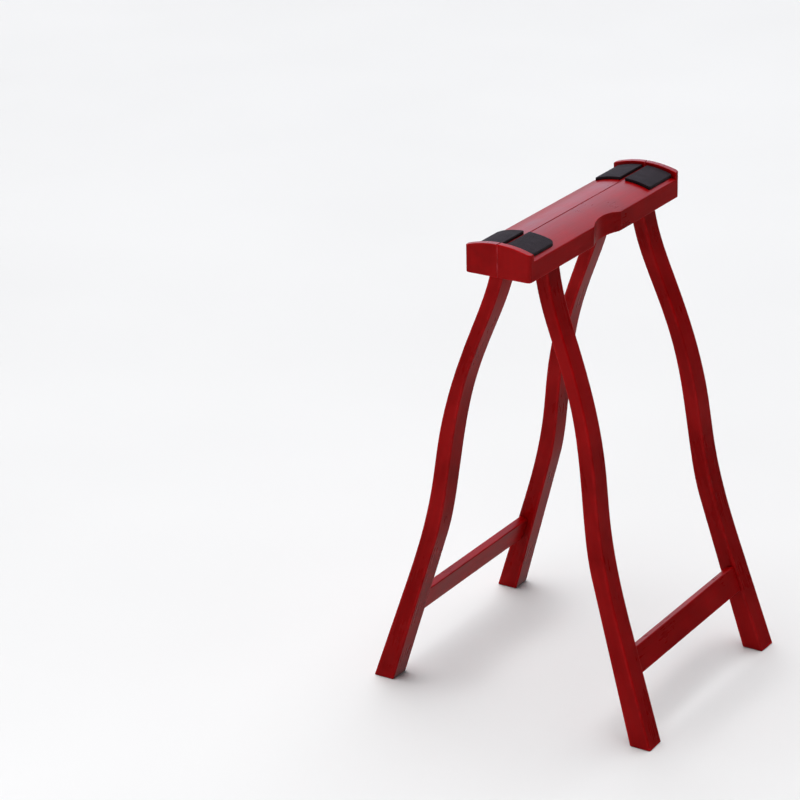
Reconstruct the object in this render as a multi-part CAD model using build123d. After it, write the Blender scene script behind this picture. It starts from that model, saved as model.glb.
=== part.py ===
"""Folding wooden A-frame trestle: two half-frames joined by butt hinges under the beam.

Frame: origin on the floor under the middle of the beam, X across the A, Y along the
beam, Z up. "left" is -X, "right" is +X, "front" is -Y, "back" is +Y. Millimetres.
The left half-frame is the fixed one; the right one folds about the hinge line.
Every shape is first made for the right side and the back end, then mirrored.
"""
import os
from math import atan2, cos, degrees, radians, sin, sqrt, tan

from build123d import *

# ---------------------------------------------------------------- driving dimensions
BEAM_LENGTH = 380.0
BEAM_WIDTH = 91.0
BEAM_BASE = 596.0          # height of the beam's underside above the floor
DECK_RISE = 34.6           # seam line of the deck above the underside
DECK_RADIUS = 115.0        # crown of the deck, across the beam
SHOULDER_RADIUS = 2.0      # eased edge between the deck and the side
LIP_RISE = 42.3            # top of the end lips above the underside
LIP_RADIUS = 140.0         # arch of the end lips
LIP_THICKNESS = 9.5
CORNER_RADIUS = 5.0        # upright corners of the beam, seen from above
EDGE_ROUND = 1.2           # small softening of the lacquered edges
SEAM_CHAMFER = 1.0         # eased edges where the two half-beams meet

NOTCH_RADIUS = 76.0        # finger notch in the right side, an arc seen from above
NOTCH_DEPTH = 8.2

LEG_THICKNESS = 31.0       # along the beam
LEG_TOP_Y = 122.0          # middle of a leg where it meets the beam
LEG_SPLAY = 3.4            # degrees that each leg leans out along the beam
LEG_EDGE_ROUND = 2.2
FOOT_CHAMFER = 1.0         # eased arris round the sole of each foot
FOLD_HALF_ANGLE = 16.5     # the lower legs' inner faces lie on this ray from the pin
FOOT_OUTER_X = 204.7       # outer edge of the foot on the floor
# The bent upper leg: outer and inner edges as (distance from the middle, height).
LEG_OUTSIDE = [(158, 140), (136.5, 210), (121.5, 280), (112, 350), (96, 420), (72, 490),
               (46.5, 560), (38.5, 596)]
LEG_INSIDE = [(100, 280), (91, 350), (77.5, 420), (53.5, 490), (27.5, 560), (19.5, 596)]
LEG_STRAIGHT_TOP = 210.0   # the inner face is straight from the floor up to here
LEG_TOP_SLOPE = 0.17       # sideways run per unit of height where the leg meets the beam

TENON_X = 12.0             # leg tenon, across the beam
TENON_Y = 20.0             # leg tenon, along the beam
TENON_LENGTH = 20.0

STRETCHER_THICKNESS = 11.0
STRETCHER_HEIGHT = 35.0    # along the leg's slope
STRETCHER_Z = 102.5        # height of the middle of its outer face
STRETCHER_INSET = 3.0      # behind the legs' outer faces
STRETCHER_ROUND = 1.5
STUB_THICKNESS = 6.0       # the stretcher's own tenon
STUB_HEIGHT = 23.0
STUB_DEPTH = 12.0

PAD_THICKNESS = 4.0
PAD_INNER_X = 3.5
PAD_OUTER_X = 39.5
PAD_INNER_Y = 120.0
PAD_LIP_GAP = 0.3
PAD_FREE_RADIUS = {"front": 7.0, "back": 2.0}   # the outer corner away from the lip
PAD_SMALL_RADIUS = 1.5     # the other three corners

HINGE_Y = 62.0             # middle of each hinge along the beam
HINGE_LENGTH = 50.0
LEAF_WIDTH = 26.0          # from the pin's axis to the leaf's outer edge
LEAF_THICKNESS = 2.0
LEAF_CORNER_RADIUS = 3.0
BARREL_RADIUS = 3.2
PIN_RADIUS = 1.6
PIN_CLEARANCE = 0.05       # on radius, in the moving leaf's knuckles
PIN_HEAD_RADIUS = 2.6
PIN_HEAD_LENGTH = 1.2
AXIS_DROP = 3.6            # pin axis below the beam's underside
KNUCKLES = 5
KNUCKLE_GAP = 0.3
BARREL_CLEARANCE = 0.4     # a leaf's edge to the other leaf's knuckles
SCREW_PLACES = [(12.5, -17.0), (19.0, 0.0), (12.5, 17.0)]   # from the pin's middle
SCREW_RADIUS = 1.7
SCREW_HEAD_RADIUS = 3.4
SCREW_HEAD_HEIGHT = 1.7
SCREW_LENGTH = 18.0
SCREW_TIP = 3.0
RECESS_SPAN = 3.6
RECESS_WIDTH = 0.8
RECESS_DEPTH = 1.0

# ---------------------------------------------------------------- worked out from them
HALF_WIDTH = BEAM_WIDTH / 2
HALF_LENGTH = BEAM_LENGTH / 2
LIP_INNER_Y = HALF_LENGTH - LIP_THICKNESS
AXIS_Z = BEAM_BASE - AXIS_DROP
LEAF_BASE = BEAM_BASE - LEAF_THICKNESS
LEG_TOP_X = (LEG_OUTSIDE[-1][0] + LEG_INSIDE[-1][0]) / 2
LEG_RUN = (FOOT_OUTER_X - LEG_OUTSIDE[0][0]) / LEG_OUTSIDE[0][1]
LEG_SLOPE = degrees(atan2(LEG_RUN, 1))
SPARE = 12.0               # how far a blank or a tool runs past the face it is cut to
OVERLAP = 1.0              # how far two united shapes run into each other
TOUCH = 0.1                # an edge this near a plane lies on it
SIDES = {"left": -1, "right": 1}
ENDS = {"front": -1, "back": 1}


# ---------------------------------------------------------------- helpers
def box(x0, x1, y0, y1, z0, z1):
    """A box between two corners."""
    middle = Pos((x0 + x1) / 2, (y0 + y1) / 2, (z0 + z1) / 2)
    return middle * Box(x1 - x0, y1 - y0, z1 - z0)


def prism(face, y0, y1):
    """A face drawn as (across, up), made solid between two places along the beam."""
    return Pos(0, y1, 0) * extrude(Plane.XZ * face, amount=y1 - y0)


def placed(shape, side, end=1):
    """A shape made at the right and the back, mirrored to the side and end asked for."""
    if side < 0 and end < 0:
        return Rot(0, 0, 180) * shape
    if side < 0:
        return shape.mirror(Plane.YZ)
    if end < 0:
        return shape.mirror(Plane.XZ)
    return shape


def crown_height(rise, radius, x):
    """Height of a crown centred on the seam, at distance x from it."""
    return BEAM_BASE + rise - radius + sqrt(radius ** 2 - x ** 2)


def off_seam(edges):
    """The edges that don't lie on the seam between the half-beams."""
    return edges.filter_by(lambda e: e.center().X > OVERLAP)


# ---------------------------------------------------------------- half-beam
def crowned_face(rise, radius):
    """Half of the beam's cross-section, under a crown of this radius."""
    top = (0, crown_height(rise, radius, 0))
    middle = (HALF_WIDTH / 2, crown_height(rise, radius, HALF_WIDTH / 2))
    edge = (HALF_WIDTH, crown_height(rise, radius, HALF_WIDTH))
    return make_face([
        Line((0, BEAM_BASE), (HALF_WIDTH, BEAM_BASE)),
        Line((HALF_WIDTH, BEAM_BASE), edge),
        ThreePointArc(edge, middle, top),
        Line(top, (0, BEAM_BASE)),
    ])


def deck_block():
    """The beam between its lips, with the edge eased between the deck and the side."""
    face = crowned_face(DECK_RISE, DECK_RADIUS)
    shoulder = face.vertices().group_by(Axis.X)[-1].sort_by(Axis.Y)[-1]
    face = fillet(shoulder, SHOULDER_RADIUS)
    return prism(face, -LIP_INNER_Y - OVERLAP, LIP_INNER_Y + OVERLAP)


def lip_block():
    """The raised lip at the back end, full height of the beam."""
    lip = prism(crowned_face(LIP_RISE, LIP_RADIUS), LIP_INNER_Y, HALF_LENGTH)
    corner = lip.edges().filter_by(Axis.Z).group_by(Axis.X)[-1].sort_by(Axis.Y)[-1]
    lip = fillet(corner, CORNER_RADIUS)
    rim = lip.faces().sort_by(Axis.Z)[-1].edges()
    return fillet(off_seam(rim), EDGE_ROUND)


def leg_tenon():
    """The tenon on top of the back leg, started a little inside the leg."""
    return box(LEG_TOP_X - TENON_X / 2, LEG_TOP_X + TENON_X / 2,
               LEG_TOP_Y - TENON_Y / 2, LEG_TOP_Y + TENON_Y / 2,
               BEAM_BASE - SPARE, BEAM_BASE + TENON_LENGTH)


def half_beam(notched):
    """One half of the beam, with its mortises, pilot holes and perhaps the finger notch."""
    beam = deck_block()
    for end in ENDS.values():
        beam += placed(lip_block(), 1, end)
    rim = beam.faces().sort_by(Axis.Z)[0].edges()
    beam = fillet(off_seam(rim), EDGE_ROUND)
    beam = chamfer(beam.faces().sort_by(Axis.X)[0].edges(), SEAM_CHAMFER)
    if notched:
        notch_x = HALF_WIDTH - NOTCH_DEPTH + NOTCH_RADIUS
        beam -= Pos(notch_x, 0, BEAM_BASE) * Cylinder(NOTCH_RADIUS, BEAM_LENGTH)
    for end in ENDS.values():
        beam -= placed(leg_tenon(), 1, end)
        for place in SCREW_PLACES:
            beam -= screw_at(screw_blank(), place, 1, end)
    return beam


# ---------------------------------------------------------------- legs and stretchers
def leg_face():
    """Side view of a leg, running a little past the floor and the beam's underside."""
    reach = tan(radians(FOLD_HALF_ANGLE))
    inside = [((AXIS_Z - LEG_STRAIGHT_TOP) * reach, LEG_STRAIGHT_TOP)] + LEG_INSIDE
    foot_in = ((AXIS_Z + SPARE) * reach, -SPARE)
    foot_out = (FOOT_OUTER_X + SPARE * LEG_RUN, -SPARE)
    top = [(x - SPARE * LEG_TOP_SLOPE, z + SPARE) for x, z in (inside[-1], LEG_OUTSIDE[-1])]
    end = (-LEG_TOP_SLOPE, 1)
    return make_face([
        Line(foot_in, foot_out),
        Line(foot_out, LEG_OUTSIDE[0]),
        Spline(LEG_OUTSIDE, tangents=[(-LEG_RUN, 1), end]),
        Line(LEG_OUTSIDE[-1], top[1]),
        Line(top[1], top[0]),
        Line(top[0], inside[-1]),
        Spline(inside, tangents=[(-reach, 1), end]),
        Line(inside[0], foot_in),
    ])


def splayed(shape):
    """A shape made upright about Y = 0, leaned out as the back leg."""
    lean = Pos(0, LEG_TOP_Y, BEAM_BASE) * Rot(LEG_SPLAY, 0, 0) * Pos(0, 0, -BEAM_BASE)
    return lean * shape


def leg():
    half = LEG_THICKNESS / 2
    blank = prism(leg_face(), -half, half)
    long_edges = blank.edges().filter_by(Axis.Y, reverse=True).filter_by(
        lambda e: 0 < e.center().Z < BEAM_BASE + SPARE - OVERLAP)
    blank = splayed(fillet(long_edges, LEG_EDGE_ROUND))
    body = blank & box(0, 2 * FOOT_OUTER_X, 0, BEAM_LENGTH, 0, BEAM_BASE)
    body = chamfer(body.faces().sort_by(Axis.Z)[0].edges(), FOOT_CHAMFER)
    return body + leg_tenon() - stretcher_bar(STUB_THICKNESS, STUB_HEIGHT, stub_end())


def stub_end():
    """Y of the ends of the stretcher's tenons."""
    drop = BEAM_BASE - STRETCHER_Z
    face_y = LEG_TOP_Y + drop * tan(radians(LEG_SPLAY)) - LEG_THICKNESS / 2
    return face_y + STUB_DEPTH


def stretcher_bar(thickness, height, reach):
    """A bar along the beam, lying in the slope of the right legs' outer faces."""
    back = STRETCHER_INSET + STRETCHER_THICKNESS / 2
    slope = radians(LEG_SLOPE)
    x = FOOT_OUTER_X - STRETCHER_Z * LEG_RUN - back * cos(slope)
    z = STRETCHER_Z - back * sin(slope)
    return Pos(x, 0, z) * Rot(0, -LEG_SLOPE, 0) * Box(thickness, 2 * reach, height)


def stretcher():
    board = stretcher_bar(STRETCHER_THICKNESS, STRETCHER_HEIGHT, stub_end())
    board = fillet(board.edges().filter_by(Axis.Y), STRETCHER_ROUND)
    half = LEG_THICKNESS / 2
    for end in ENDS.values():
        beyond = splayed(box(0, 2 * FOOT_OUTER_X, -half, BEAM_LENGTH, -SPARE, BEAM_BASE))
        board -= placed(beyond, 1, end)
    return board + stretcher_bar(STUB_THICKNESS, STUB_HEIGHT, stub_end())


# ---------------------------------------------------------------- pads
def pad(free_radius):
    """A pad glued on the deck against the back lip, following the crown."""
    outer_y = LIP_INNER_Y - PAD_LIP_GAP
    shell = Pos(0, 0, crown_height(DECK_RISE, DECK_RADIUS, 0) - DECK_RADIUS) * Rot(90, 0, 0) * (
        Cylinder(DECK_RADIUS + PAD_THICKNESS, 2 * BEAM_LENGTH)
        - Cylinder(DECK_RADIUS, 2 * BEAM_LENGTH))
    plan = box(PAD_INNER_X, PAD_OUTER_X, PAD_INNER_Y, outer_y,
               BEAM_BASE, BEAM_BASE + 2 * DECK_RISE)
    upright = plan.edges().filter_by(Axis.Z)
    free = upright.group_by(Axis.Y)[0].sort_by(Axis.X)[-1]
    plan = fillet(free, free_radius)
    others = plan.edges().filter_by(Axis.Z).filter_by(
        lambda e: abs(e.center().X - PAD_INNER_X) < TOUCH or abs(e.center().Y - outer_y) < TOUCH)
    return shell & fillet(others, PAD_SMALL_RADIUS)


# ---------------------------------------------------------------- hinges
def barrel_piece(radius, y0, y1):
    """A round along the pin's axis."""
    return Pos(0, (y0 + y1) / 2, AXIS_Z) * Rot(90, 0, 0) * Cylinder(radius, y1 - y0)


def screw_blank():
    """A countersunk screw without its recess, standing on Z = 0."""
    shank = SCREW_LENGTH - SCREW_HEAD_HEIGHT - SCREW_TIP
    outline = Polyline((0, 0), (SCREW_HEAD_RADIUS, 0), (SCREW_RADIUS, SCREW_HEAD_HEIGHT),
                       (SCREW_RADIUS, SCREW_HEAD_HEIGHT + shank), (0, SCREW_LENGTH), (0, 0))
    return revolve(Plane.XZ * make_face(outline), Axis.Z)


def screw():
    cross = Box(RECESS_SPAN, RECESS_WIDTH, 2 * RECESS_DEPTH)
    return screw_blank() - cross - Rot(0, 0, 90) * cross


def screw_at(shape, place, side, end):
    """A screw shape moved to its place in the leaf at this side and end."""
    x, y = place
    return placed(Pos(x, HINGE_Y + y, LEAF_BASE) * shape, side, end)


def hinge_leaf(moving):
    """The back hinge's leaf: a plate and every other knuckle."""
    plate_x = BARREL_RADIUS + BARREL_CLEARANCE
    half = HINGE_LENGTH / 2
    plate = box(plate_x, LEAF_WIDTH, -half, half, LEAF_BASE, BEAM_BASE)
    outer = plate.edges().filter_by(Axis.Z).group_by(Axis.X)[-1]
    leaf = fillet(outer, LEAF_CORNER_RADIUS)
    pitch = (HINGE_LENGTH + KNUCKLE_GAP) / KNUCKLES
    for n in range(int(moving), KNUCKLES, 2):
        y0 = -half + n * pitch
        y1 = y0 + pitch - KNUCKLE_GAP
        leaf += box(SEAM_CHAMFER, plate_x + OVERLAP, y0, y1, LEAF_BASE, BEAM_BASE)
        leaf += barrel_piece(BARREL_RADIUS, y0, y1)
    leaf -= barrel_piece(PIN_RADIUS + moving * PIN_CLEARANCE, -half - OVERLAP, half + OVERLAP)
    leaf = Pos(0, HINGE_Y, 0) * leaf
    for place in SCREW_PLACES:
        leaf -= screw_at(screw_blank(), place, 1, 1)
    return leaf


def hinge_pin():
    half = HINGE_LENGTH / 2
    pin = barrel_piece(PIN_RADIUS, -half, half)
    for end in ENDS.values():
        head = barrel_piece(PIN_HEAD_RADIUS, half, half + PIN_HEAD_LENGTH)
        pin += placed(head, 1, end)
    return Pos(0, HINGE_Y, 0) * pin


# ---------------------------------------------------------------- the whole trestle
def parts():
    """Every node of the trestle, by name."""
    made = {}
    for side_name, side in SIDES.items():
        moving = side > 0
        made["half_beam_" + side_name] = placed(half_beam(moving), side)
        made["stretcher_" + side_name] = placed(stretcher(), side)
        screws = []
        for end_name, end in ENDS.items():
            corner = side_name + "_" + end_name
            made["leg_" + corner] = placed(leg(), side, end)
            made["pad_" + corner] = placed(pad(PAD_FREE_RADIUS[end_name]), side, end)
            made["hinge_leaf_" + corner] = placed(hinge_leaf(moving), side, end)
            screws += [screw_at(screw(), place, side, end).solid() for place in SCREW_PLACES]
        made["hinge_screws_" + side_name] = Compound(children=screws)
    for end_name, end in ENDS.items():
        made["hinge_pin_" + end_name] = placed(hinge_pin(), 1, end)
    return made


os.makedirs("parts", exist_ok=True)
for name, shape in parts().items():
    export_step(shape, "parts/" + name + ".step")
    print(name, len(shape.solids()), "solid(s)", round(shape.volume / 1000, 2), "cm3")
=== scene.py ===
"""Looks of the folding A-frame trestle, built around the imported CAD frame. Metres.

The wooden and metal pieces keep their CAD meshes and get node-based materials. The four grip
pads are rebuilt here as foam with a rolled edge, and stand for the plain CAD pads.
"""
import math

import bmesh
import bpy
from mathutils import Matrix, Vector, noise


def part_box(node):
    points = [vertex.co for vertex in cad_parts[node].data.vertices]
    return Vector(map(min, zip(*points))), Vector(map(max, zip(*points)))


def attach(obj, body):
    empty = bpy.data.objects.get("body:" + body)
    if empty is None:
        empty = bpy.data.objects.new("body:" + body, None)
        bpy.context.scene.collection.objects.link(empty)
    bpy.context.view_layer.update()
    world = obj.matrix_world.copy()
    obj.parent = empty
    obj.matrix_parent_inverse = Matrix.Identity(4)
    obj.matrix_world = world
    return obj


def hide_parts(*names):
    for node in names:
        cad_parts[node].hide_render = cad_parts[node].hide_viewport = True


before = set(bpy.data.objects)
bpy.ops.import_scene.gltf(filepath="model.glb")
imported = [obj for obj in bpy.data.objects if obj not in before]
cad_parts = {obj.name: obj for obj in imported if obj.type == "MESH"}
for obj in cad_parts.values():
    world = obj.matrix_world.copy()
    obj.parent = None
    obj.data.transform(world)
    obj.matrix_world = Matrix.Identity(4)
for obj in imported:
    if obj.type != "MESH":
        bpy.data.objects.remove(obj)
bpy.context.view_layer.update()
scene = bpy.context.scene

# ---------------------------------------------------------------- driving values
# Lacquer
RED_DEEP = (0.196, 0.0004, 0.0008)
RED_BRIGHT = (0.355, 0.0009, 0.0018)
# Lighter red along the arrises: worn thin lacquer and a painted highlight
RED_ARRIS_WORN_AND_LIT = (0.600, 0.0040, 0.0060)
# Painted shade in joints and crevices
RED_PAINTED_SHADE = (0.080, 0.0004, 0.0006)
# A painted highlight on the seam's chamfers, broken up
RED_SEAM_HIGHLIGHT = (0.520, 0.0520, 0.0640)   # where the seam reaches the end faces
# How far in from an arris the lacquer is lighter red, worn thin and with a painted highlight,
# and how much, on each kind of piece
ARRIS_WEAR_AND_HIGHLIGHT = {"leg": (0.0045, 1.0), "half_beam": (0.0024, 0.75), "stretcher": (0.0026, 0.45)}
LACQUER_SHADE_REACH = 0.012      # how far out of a joint the painted shade reaches
# Patterns in the lacquer, in waves per metre
FIBRE_WAVES = 260
FIGURE_WAVES = 42
RING_WAVES = 34
MOTTLE_WAVES = 11
PEEL_WAVES = 420           # orange peel
RUB_WAVES = 24             # where an arris is rubbed and where it isn't
SEAM_HIGHLIGHT_BREAKUP_WAVES = 130
# How far a pattern is drawn out along the grain, which is local Z
FIBRE_STRETCH = (1, 1, 0.05)
FIGURE_STRETCH = (1, 1, 0.12)
RING_STRETCH = (1, 0.35, 0.06)
FIBRE_DEPTH = 0.00022
PEEL_DEPTH = 0.00010
# Distances from the seam over which each effect fades
SEAM_NO_LIGHTER_ARRIS = (0.0020, 0.0060)
SEAM_UNSHADED = (0.0010, 0.0030)
SEAM_HIGHLIGHT_SPAN = (0.0005, 0.0013)
SEED_SHIFT = (0.37, 0.53, 0.71)   # moves the patterns from one piece to the next
GRAIN_ALONG_BEAM = 90      # degrees that turn local Z to lie along the beam
LEG_LEAN = 17              # degrees that the grain of a leg leans across the beam
LEG_SPLAY = 3.4            # and along it

# Steel: material name, light tone, dark tone, how the brushing is drawn out, waves per metre
STEEL = {
    "hinge_leaf": ("plated_steel", (0.60, 0.60, 0.61), (0.44, 0.44, 0.45), (1, 0.03, 1), 900),
    "hinge_pin": ("turned_steel", (0.64, 0.64, 0.64), (0.48, 0.48, 0.48), (1, 1, 1), 1800),
    "hinge_screws": ("zinc_screws", (0.62, 0.60, 0.54), (0.46, 0.44, 0.38), (1, 1, 0.1), 1500),
}
STEEL_GRAIN = (0.30, 0.29, 0.28)
STEEL_WORN = (0.86, 0.86, 0.85)
STEEL_GRIME = (0.05, 0.045, 0.04)
STEEL_RUB_REACH = 0.0008
STEEL_GRIME_REACH = 0.004
BRUSH_DEPTH = 0.00006
TARNISH_WAVES = 130

# Grip pads
DECK_RADIUS = 0.115
PAD_THICKNESS = 0.004
PAD_FREE_CORNER = {"front": 0.007, "back": 0.002}
PAD_SMALL_CORNER = 0.0015
PAD_ROLL = 0.0006          # rounding of the top edge
PAD_TUCK = (0.00025, 0.0005)   # how far the glued edge is tucked in, and up to what height
PAD_BELLY = 0.00006        # how far the side is tucked in halfway up
PAD_SWELL = 0.00022        # unevenness of the top
PAD_SWELL_FADE = 0.004     # over this width in from the edge
PAD_SWELL_WAVES = 90
PAD_SWELL_SLICE = 0.3      # height in the noise at which the unevenness is read
PAD_SWELL_SINK = 0.4       # it sinks more than it rises
PAD_TOP = 0.9              # part of the thickness above which a point is on top
PAD_BLACK = (0.0120, 0.0080, 0.0110)
PAD_GREY = (0.0300, 0.0205, 0.0280)
PAD_RUBBED = (0.050, 0.048, 0.050)
# Painted shade where a pad meets the deck and the lip
PAD_PAINTED_SHADE = (0.0045, 0.0035, 0.0035)
PAD_RUB_REACH = 0.0012
PAD_SHADE_REACH = 0.006
CELL_DEPTH = 0.00030
GRIT_DEPTH = 0.00018
CELL_WAVES = 1500          # the foam's open cells, per metre
GRIT_WAVES = 2600
CLOUD_WAVES = 70
SCUFF_WAVES = 240

# Mesh fineness of a pad
ARC_POINTS = 9             # round each corner
SIDE_POINTS = 18           # along each side
ROLL_STEPS = 5             # over the rolled edge
TOP_RINGS = 12             # from the rolled edge to the middle
TOP_CROWDING = 1.15        # over 1 crowds these rings toward the edge
MIDDLE_GAP = 0.0003        # half the width of the last ring
SMALLEST_CORNER = 0.00004
LARGEST_CORNER = 2.02      # a ring's short side divided by this
WELD = 0.00001

# Surroundings as the gloss sees them, by direction: the glow grows from start to full
ROOM_GLOW = 0.015          # all round
BACK_GLOW = 0.38           # added toward the back and left
GLOW_FADES = (("X", 0.44, 0.14, BACK_GLOW), ("Y", 0.15, 0.60, 1.0))

# Stage: half the floor's side, and the pale wall round it
FLOOR_REACH = 60.0
FLOOR_TONES = ((0.83, 0.83, 0.835), (0.86, 0.86, 0.865))
WALL_RADIUS = 20.0
WALL_TONES = ((0.985, 0.985, 0.99), (1.0, 1.0, 1.0))
WALL_GLOW = 0.84

# Lights
SKY_POWER = 3.1
SKY_WIDTH = 70             # degrees
SKY_TILT = (-8, -11)       # degrees about X and Y
LIT_POINT = (0, 0, 0.35)
# Soft boxes: place, width, height, power, colour, and the kind of ray that doesn't see it
SOFT_BOXES = {
    "front_key": ((-0.5, -3.4, 1.7), 2.4, 2.0, 25, (1, 1, 1), "glossy"),
    "back_glow": ((-1.4, 3.4, 2.35), 6.0, 3.2, 76, (0.84, 0.97, 1.26), "diffuse"),
}

# Camera: where it stands and where it looks
CAMERA_AT = (1.7090, -3.0164, 1.7914)
CAMERA_AZIMUTH = 33.24
CAMERA_ELEVATION = 22.25
CAMERA_ROLL = 1.336
CAMERA_LENS = 131.7
CAMERA_SENSOR = 36


# ---------------------------------------------------------------- node helpers
class Nodes:
    """Short calls for building one material's node tree."""

    def __init__(self, name):
        self.material = bpy.data.materials.new(name)
        self.material.use_nodes = True
        self.tree = self.material.node_tree
        self.shader = self.tree.nodes["Principled BSDF"]

    def add(self, kind, inputs=None, **settings):
        """A node of this kind, with sockets linked or set, and properties set."""
        node = self.tree.nodes.new("ShaderNode" + kind)
        for key, value in settings.items():
            setattr(node, key, value)
        for key, value in (inputs or {}).items():
            self.put(node.inputs[key], value)
        return node

    def put(self, socket, value):
        """Links a socket, or sets its value."""
        if isinstance(value, bpy.types.NodeSocket):
            self.tree.links.new(value, socket)
        else:
            socket.default_value = value

    def math(self, operation, a, b=0.0, c=0.0, clamp=False):
        """One sum on values; c counts only in MULTIPLY_ADD, which is a * b + c."""
        node = self.add("Math", {0: a, 1: b, 2: c}, operation=operation, use_clamp=clamp)
        return node.outputs[0]

    def ramp(self, value, span, to=(0.0, 1.0)):
        """value mapped smoothly from span to the range to, and clamped."""
        node = self.add("MapRange", {"Value": value, "From Min": span[0], "From Max": span[1],
                                     "To Min": to[0], "To Max": to[1]},
                        interpolation_type="SMOOTHSTEP")
        return node.outputs["Result"]

    def mix(self, factor, a, b):
        """Two colours mixed by a factor."""
        node = self.add("Mix", data_type="RGBA")
        for index, value in ((0, factor), (6, a), (7, b)):
            if isinstance(value, tuple):
                value = (*value, 1.0)
            self.put(node.inputs[index], value)
        return node.outputs[2]

    def noise(self, vector, scale, detail, roughness, distortion=0.0):
        node = self.add("TexNoise", {"Vector": vector, "Scale": scale, "Detail": detail,
                                     "Roughness": roughness, "Distortion": distortion})
        return node.outputs["Fac"]

    def place(self, rotation=(0, 0, 0), location=(0, 0, 0), stretch=(1, 1, 1)):
        """Object coordinates, turned, moved and stretched."""
        coords = self.add("TexCoord").outputs["Object"]
        turned = self.add("Mapping", {"Vector": coords, "Rotation": rotation,
                                      "Location": location}).outputs[0]
        return self.add("Mapping", {"Vector": turned, "Scale": stretch}).outputs[0]

    def part(self, vector, axis):
        """One axis of a vector."""
        return self.add("SeparateXYZ", {0: vector}).outputs[axis]

    def crevice(self, reach, span, to):
        """Ambient occlusion outside the surface, mapped from span to the range to."""
        node = self.add("AmbientOcclusion", {"Distance": reach}, samples=8)
        return self.ramp(node.outputs["AO"], span, to)

    def arris(self, reach, span):
        """Ambient occlusion inside the surface: 1 along the edges, mapped from span."""
        node = self.add("AmbientOcclusion", {"Distance": reach}, inside=True, samples=8)
        return self.ramp(self.math("SUBTRACT", 1.0, node.outputs["AO"]), span)

    def bump(self, height, distance, strength, normal=None):
        inputs = {"Height": height, "Distance": distance, "Strength": strength}
        if normal is not None:
            inputs["Normal"] = normal
        return self.add("Bump", inputs).outputs[0]

    def set(self, **values):
        """Sets or links the shader's sockets, named with underscores for spaces."""
        for key, value in values.items():
            if isinstance(value, tuple):
                value = (*value, 1.0)
            self.put(self.shader.inputs[key.replace("_", " ")], value)


# ---------------------------------------------------------------- materials
def lacquered_wood(name, turn, seed, kind):
    """Red gloss lacquer over straight-grained wood; turn lays the grain along local Z."""
    reach, amount = ARRIS_WEAR_AND_HIGHLIGHT[kind]
    n = Nodes(name)
    shift = tuple(seed * step for step in SEED_SHIFT)
    plain = n.place(turn, shift)
    fibre = n.noise(n.place(turn, shift, FIBRE_STRETCH), FIBRE_WAVES, 6, 0.62, 0.4)
    figure = n.noise(n.place(turn, shift, FIGURE_STRETCH), FIGURE_WAVES, 3, 0.55, 1.2)
    rings = n.add("TexWave", {"Vector": n.place(turn, shift, RING_STRETCH),
                              "Scale": RING_WAVES, "Distortion": 5, "Detail": 3,
                              "Detail Scale": 1.4},
                  wave_type="BANDS", bands_direction="X").outputs["Fac"]
    mottle = n.noise(plain, MOTTLE_WAVES, 4, 0.55)
    peel = n.noise(plain, PEEL_WAVES, 2, 0.5)

    depth = n.math("MULTIPLY_ADD", fibre, 0.32, -0.155)
    tone = n.math("ADD", n.ramp(mottle, (0.36, 0.66), (0.20, 0.78)), depth)
    tone = n.math("ADD", tone, n.math("MULTIPLY", n.ramp(figure, (0.35, 0.7)), 0.22))
    tone = n.math("ADD", tone, n.math("MULTIPLY", rings, 0.10), clamp=True)
    colour = n.mix(tone, RED_DEEP, RED_BRIGHT)

    # Lighter red along the arrises, in patches: worn thin lacquer and a painted highlight.
    rub = n.ramp(n.noise(plain, RUB_WAVES, 5, 0.7), (0.36, 0.62), (0.10 * amount, amount))
    wear_and_highlight = n.math("MULTIPLY", n.arris(reach, (0.07, 0.34)), rub, clamp=True)
    # Painted shade: dark red where ambient occlusion finds a joint or crevice.
    painted_shade = n.crevice(LACQUER_SHADE_REACH, (0.25, 0.80), (0.65, 0.0))
    if kind == "half_beam":
        colour, wear_and_highlight, painted_shade = seam(n, plain, colour, wear_and_highlight, painted_shade)
    colour = n.mix(wear_and_highlight, colour, RED_ARRIS_WORN_AND_LIT)
    colour = n.mix(painted_shade, colour, RED_PAINTED_SHADE)

    rough = n.ramp(mottle, (0.25, 0.75), (0.20, 0.32))
    rough = n.math("ADD", rough, n.math("MULTIPLY", fibre, 0.10))
    rough = n.math("ADD", rough, n.math("MULTIPLY", wear_and_highlight, 0.10), clamp=True)
    normal = n.bump(fibre, FIBRE_DEPTH, 0.65)
    normal = n.bump(peel, PEEL_DEPTH, 0.55, normal)
    n.set(Base_Color=colour, Roughness=rough, Normal=normal, IOR=1.5,
          Specular_IOR_Level=0.13, Coat_Weight=0.04, Coat_Roughness=0.16, Coat_IOR=1.5)
    return n.material


def seam(n, plain, colour, wear_and_highlight, painted_shade):
    """Where the two half-beams meet: painted shade along the deck, a broken painted highlight on
    the end faces.
    """
    across = n.math("ABSOLUTE", n.part(n.add("TexCoord").outputs["Object"], "X"))
    facing = n.part(n.add("NewGeometry").outputs["Normal"], "Y")
    end = n.ramp(n.math("ABSOLUTE", facing), (0.3, 0.6))
    elsewhere = n.math("SUBTRACT", 1.0, end)
    far = n.ramp(across, SEAM_NO_LIGHTER_ARRIS)
    wear_and_highlight = n.math("MULTIPLY", wear_and_highlight, n.math("MAXIMUM", far, end))
    clear = n.ramp(across, SEAM_UNSHADED)
    painted_shade = n.math("MULTIPLY", painted_shade, n.math("MAXIMUM", clear, elsewhere))
    # A broken pale line on the end faces at the seam: a painted highlight on the chamfers.
    highlight_breakup = n.ramp(n.noise(plain, SEAM_HIGHLIGHT_BREAKUP_WAVES, 4, 0.6), (0.40, 0.60), (0.15, 1.0))
    seam_highlight = n.math("MULTIPLY", n.ramp(across, SEAM_HIGHLIGHT_SPAN, (1.0, 0.0)), end)
    colour = n.mix(n.math("MULTIPLY", seam_highlight, highlight_breakup), colour, RED_SEAM_HIGHLIGHT)
    return colour, wear_and_highlight, painted_shade


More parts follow.
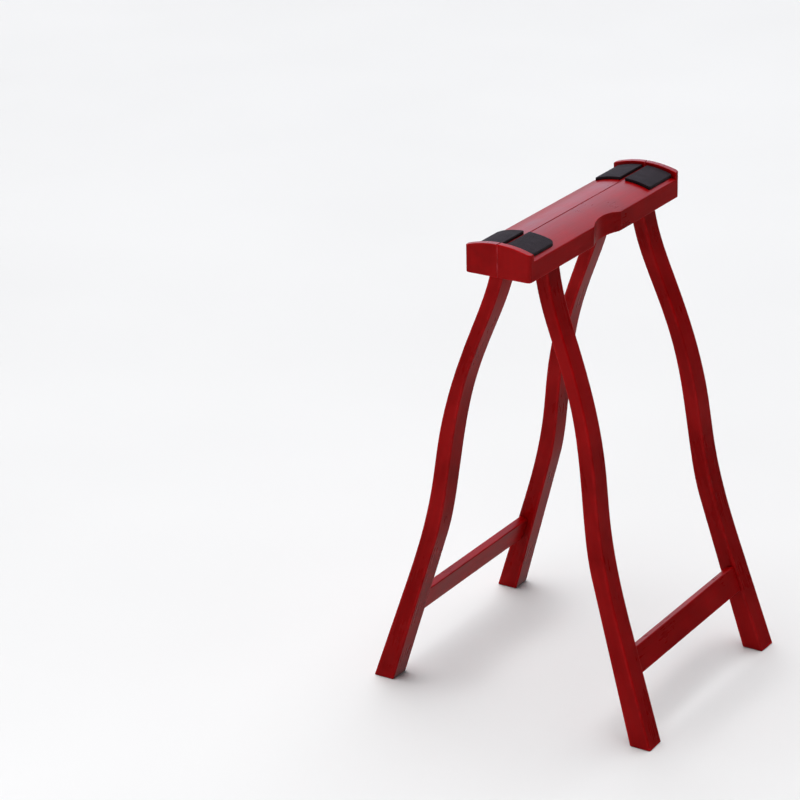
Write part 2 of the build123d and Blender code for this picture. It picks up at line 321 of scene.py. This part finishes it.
def foam_rubber(name):
    """Dense dark foam: a fine open skin, dusty on top, with painted shade where it meets the
    wood.
    """
    n = Nodes(name)
    plain = n.place()
    cells = n.add("TexVoronoi", {"Vector": plain, "Scale": CELL_WAVES},
                  feature="F1").outputs["Distance"]
    grit = n.noise(plain, GRIT_WAVES, 3, 0.65)
    cloud = n.noise(plain, CLOUD_WAVES, 5, 0.6)
    scuff = n.noise(n.place(stretch=(1, 0.2, 1)), SCUFF_WAVES, 4, 0.6)
    tone = n.math("ADD", n.ramp(cloud, (0.3, 0.7), (0.1, 0.6)), n.math("MULTIPLY", grit, 0.35))
    tone = n.math("ADD", tone, n.ramp(scuff, (0.55, 0.8), (0.0, 0.35)), clamp=True)
    colour = n.mix(tone, PAD_BLACK, PAD_GREY)
    rub = n.arris(PAD_RUB_REACH, (0.3, 0.8))
    colour = n.mix(n.math("MULTIPLY", rub, 0.5), colour, PAD_RUBBED)
    # Painted shade where the pad meets the deck and the lip.
    colour = n.mix(n.crevice(PAD_SHADE_REACH, (0.25, 0.75), (0.8, 0.0)), colour, PAD_PAINTED_SHADE)
    rough = n.ramp(grit, (0.25, 0.75), (0.78, 0.95))
    normal = n.bump(cells, CELL_DEPTH, 0.6)
    normal = n.bump(grit, GRIT_DEPTH, 0.6, normal)
    n.set(Base_Color=colour, Roughness=rough, Normal=normal, IOR=1.45,
          Specular_IOR_Level=0.22, Sheen_Weight=0.08, Sheen_Roughness=0.5)
    return n.material


def brushed_steel(name, light, dark, stretch, waves):
    """Plated steel with a brushed grain, faint tarnish and bright worn edges."""
    n = Nodes(name)
    lines = n.noise(n.place(stretch=stretch), waves, 5, 0.7)
    cloud = n.noise(n.place(), TARNISH_WAVES, 4, 0.6)
    colour = n.mix(n.ramp(cloud, (0.3, 0.75)), light, dark)
    colour = n.mix(n.math("MULTIPLY", lines, 0.35), colour, STEEL_GRAIN)
    edge = n.arris(STEEL_RUB_REACH, (0.35, 0.8))
    colour = n.mix(n.math("MULTIPLY", edge, 0.6), colour, STEEL_WORN)
    colour = n.mix(n.crevice(STEEL_GRIME_REACH, (0.2, 0.8), (0.75, 0.0)), colour, STEEL_GRIME)
    rough = n.ramp(cloud, (0.2, 0.8), (0.26, 0.42))
    rough = n.math("ADD", rough, n.math("MULTIPLY", lines, 0.14))
    normal = n.bump(lines, BRUSH_DEPTH, 0.5)
    n.set(Base_Color=colour, Roughness=rough, Normal=normal, Metallic=1.0, Anisotropic=0.4)
    return n.material


def paint_nodes():
    """Gives every shown CAD node its finished material."""
    lean, splay = math.radians(LEG_LEAN), math.radians(LEG_SPLAY)
    along_beam = (math.radians(GRAIN_ALONG_BEAM), 0, 0)
    seed = 1
    for side, x in (("left", -1), ("right", 1)):
        wood = {"half_beam_" + side: along_beam, "stretcher_" + side: along_beam}
        for end, y in (("front", -1), ("back", 1)):
            wood[f"leg_{side}_{end}"] = (-y * splay, x * lean, 0)
        for node, turn in wood.items():
            kind = next(kind for kind in ARRIS_WEAR_AND_HIGHLIGHT if node.startswith(kind))
            dress(node, lacquered_wood("lacquer_" + node, turn, seed, kind))
            seed += 1
    for kind, finish in STEEL.items():
        steel = brushed_steel(*finish)
        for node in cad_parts:
            if node.startswith(kind):
                dress(node, steel)


def dress(node, material):
    """Puts one material on every slot of a CAD node."""
    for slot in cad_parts[node].material_slots:
        slot.material = material


# ---------------------------------------------------------------- grip pads
def new_object(name, mesh):
    """A scene object with this bmesh, which is freed."""
    data = bpy.data.meshes.new(name)
    mesh.to_mesh(data)
    mesh.free()
    made = bpy.data.objects.new(name, data)
    scene.collection.objects.link(made)
    return made


def rounded_loop(low, high, radii, inset):
    """Points round a rectangle with its own radius at each corner, moved in by inset.

    radii are for the corners (low x, low y), (high x, low y), (high x, high y), (low x, high y).
    Every loop has the same number of points, so that loops can be joined.
    """
    x0, y0, x1, y1 = low[0] + inset, low[1] + inset, high[0] - inset, high[1] - inset
    corners = [(x0, y0, 180), (x1, y0, 270), (x1, y1, 0), (x0, y1, 90)]
    arcs = []
    for (cx, cy, start), radius in zip(corners, radii):
        r = max(radius - inset, SMALLEST_CORNER)
        r = min(r, (x1 - x0) / LARGEST_CORNER, (y1 - y0) / LARGEST_CORNER)
        mid_x = cx + r if cx == x0 else cx - r
        mid_y = cy + r if cy == y0 else cy - r
        arc = []
        for k in range(ARC_POINTS):
            a = math.radians(start + 90 * k / (ARC_POINTS - 1))
            arc.append(Vector((mid_x + r * math.cos(a), mid_y + r * math.sin(a))))
        arcs.append(arc)
    loop = []
    for arc, following in zip(arcs, arcs[1:] + arcs[:1]):
        loop += arc
        for k in range(1, SIDE_POINTS):
            loop.append(arc[-1].lerp(following[0], k / SIDE_POINTS))
    return loop


def pad_profile(half):
    """(inset, height) from the glued underside, up the side, over the rolled edge and in.

    half is half the pad's width.
    """
    profile = [(PAD_TUCK[0], 0.0), (0.0, PAD_TUCK[1]), (PAD_BELLY, PAD_THICKNESS / 2)]
    for k in range(ROLL_STEPS + 1):
        a = math.radians(90 * k / ROLL_STEPS)
        profile.append((PAD_ROLL * (1 - math.cos(a)),
                        PAD_THICKNESS - PAD_ROLL * (1 - math.sin(a))))
    start = profile[-1][0]
    for k in range(1, TOP_RINGS + 1):
        part = (k / TOP_RINGS) ** TOP_CROWDING
        profile.append((start + (half - MIDDLE_GAP - start) * part, PAD_THICKNESS))
    return profile


def pad_point(p, inset, height, centre_z):
    """A flat point laid on the crowned deck, with the skin's unevenness on top."""
    z = centre_z + math.sqrt((DECK_RADIUS + height) ** 2 - p.x ** 2)
    if height > PAD_THICKNESS * PAD_TOP:
        swell = PAD_SWELL * min(1, max(0, inset - PAD_ROLL) / PAD_SWELL_FADE)
        place = Vector((p.x, p.y, PAD_SWELL_SLICE)) * PAD_SWELL_WAVES
        z += swell * (noise.noise(place) - PAD_SWELL_SINK)
    return p.x, p.y, z


def grip_pad(side, end):
    """A foam pad wrapped over the deck's crown, with a rolled top edge and an uneven skin."""
    node = f"pad_{side}_{end}"
    low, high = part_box(node)
    inner_x = min(abs(low.x), abs(high.x))
    centre_z = high.z - math.sqrt((DECK_RADIUS + PAD_THICKNESS) ** 2 - inner_x ** 2)
    free_x = high.x if side == "right" else low.x
    free_y = high.y if end == "front" else low.y
    radii = []
    for x, y in ((low.x, low.y), (high.x, low.y), (high.x, high.y), (low.x, high.y)):
        free = (x, y) == (free_x, free_y)
        radii.append(PAD_FREE_CORNER[end] if free else PAD_SMALL_CORNER)

    mesh = bmesh.new()
    rings = []
    for inset, height in pad_profile(min(high.x - low.x, high.y - low.y) / 2):
        loop = rounded_loop(low, high, radii, inset)
        rings.append([mesh.verts.new(pad_point(p, inset, height, centre_z)) for p in loop])
    for lower, upper in zip(rings, rings[1:]):
        count = len(lower)
        for k in range(count):
            j = (k + 1) % count
            mesh.faces.new((lower[k], lower[j], upper[j], upper[k]))
    mesh.faces.new(rings[-1])
    mesh.faces.new(list(reversed(rings[0])))
    bmesh.ops.remove_doubles(mesh, verts=mesh.verts, dist=WELD)
    bmesh.ops.triangulate(mesh, faces=[f for f in mesh.faces if len(f.verts) > 4])
    bmesh.ops.recalc_face_normals(mesh, faces=mesh.faces)
    for face in mesh.faces:
        face.smooth = True
    piece = new_object("grip_" + node, mesh)
    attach(piece, side + "_half")
    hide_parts(node)
    return piece


# ---------------------------------------------------------------- floor, light, camera
def plain_floor():
    mesh = bmesh.new()
    bmesh.ops.create_grid(mesh, x_segments=8, y_segments=8, size=FLOOR_REACH)
    floor = new_object("floor", mesh)
    n = Nodes("pale_floor")
    tone = n.ramp(n.noise(n.place(), 1.5, 2, 0.5), (0.2, 0.8))
    n.set(Base_Color=n.mix(tone, *FLOOR_TONES), Roughness=0.85)
    floor.data.materials.append(n.material)
    floor.visible_glossy = False


def pale_backdrop():
    """A pale dome all round, far off, which the camera alone sees."""
    mesh = bmesh.new()
    bmesh.ops.create_uvsphere(mesh, u_segments=64, v_segments=32, radius=WALL_RADIUS)
    wall = new_object("backdrop", mesh)
    n = Nodes("pale_wall")
    tone = n.ramp(n.noise(n.place(), 0.05, 2, 0.5), (0.2, 0.8))
    n.set(Base_Color=(0.0, 0.0, 0.0), Specular_IOR_Level=0.0,
          Emission_Color=n.mix(tone, *WALL_TONES), Emission_Strength=WALL_GLOW)
    n.material.cycles.emission_sampling = "NONE"
    wall.data.materials.append(n.material)
    for kind in ("diffuse", "glossy", "transmission", "volume_scatter", "shadow"):
        setattr(wall, "visible_" + kind, False)


def room():
    """The surroundings: dim all round, with a soft glow at the back and left."""
    world = bpy.data.worlds.new("studio")
    scene.world = world
    world.use_nodes = True
    tree = world.node_tree
    back = tree.nodes["Background"]
    back.inputs["Color"].default_value = (1, 1, 1, 1)
    way = tree.nodes.new("ShaderNodeSeparateXYZ")
    tree.links.new(tree.nodes.new("ShaderNodeTexCoord").outputs["Generated"], way.inputs[0])
    strength = tree.nodes.new("ShaderNodeMath")
    strength.operation = "MULTIPLY_ADD"
    strength.inputs[2].default_value = ROOM_GLOW
    for slot, (axis, start, full, most) in enumerate(GLOW_FADES):
        fade = tree.nodes.new("ShaderNodeMapRange")
        fade.interpolation_type = "SMOOTHSTEP"
        tree.links.new(way.outputs[axis], fade.inputs["Value"])
        fade.inputs["From Min"].default_value = start
        fade.inputs["From Max"].default_value = full
        fade.inputs["To Max"].default_value = most
        tree.links.new(fade.outputs["Result"], strength.inputs[slot])
    tree.links.new(strength.outputs[0], back.inputs["Strength"])


def lamp(name, kind):
    """A new light in the scene."""
    made = bpy.data.objects.new(name, bpy.data.lights.new(name, kind))
    scene.collection.objects.link(made)
    return made


def lights():
    """A wide soft sky, and large soft boxes aimed at the object."""
    sky = lamp("soft_top", "SUN")
    sky.data.angle = math.radians(SKY_WIDTH)
    sky.data.energy = SKY_POWER
    sky.rotation_euler = (math.radians(SKY_TILT[0]), math.radians(SKY_TILT[1]), 0)
    sky.visible_glossy = False
    for name, (at, width, height, power, colour, unseen_by) in SOFT_BOXES.items():
        box = lamp(name, "AREA")
        box.data.shape = "RECTANGLE"
        box.data.size = width
        box.data.size_y = height
        box.data.energy = power
        box.data.color = colour
        box.location = at
        box.rotation_mode = "QUATERNION"
        box.rotation_quaternion = (Vector(LIT_POINT) - Vector(at)).to_track_quat("-Z", "Y")
        setattr(box, "visible_" + unseen_by, False)


def camera():
    """The camera, from its place, the way it looks and its roll."""
    cam = bpy.data.objects.new("camera", bpy.data.cameras.new("camera"))
    cam.data.lens = CAMERA_LENS
    cam.data.sensor_width = CAMERA_SENSOR
    a, e = math.radians(CAMERA_AZIMUTH), math.radians(CAMERA_ELEVATION)
    ahead = -Vector((math.sin(a) * math.cos(e), -math.cos(a) * math.cos(e), math.sin(e)))
    right = ahead.cross(Vector((0, 0, 1))).normalized()
    up = right.cross(ahead)
    turn = Matrix.Rotation(math.radians(CAMERA_ROLL), 3, ahead)
    right, up = turn @ right, turn @ up
    cam.matrix_world = Matrix((right, up, -ahead)).transposed().to_4x4()
    cam.location = CAMERA_AT
    scene.collection.objects.link(cam)
    scene.camera = cam


camera()
paint_nodes()
foam = foam_rubber("foam_rubber")
for pad_side in ("left", "right"):
    for pad_end in ("front", "back"):
        grip_pad(pad_side, pad_end).data.materials.append(foam)
plain_floor()
pale_backdrop()
room()
lights()
scene.view_settings.view_transform = "Standard"
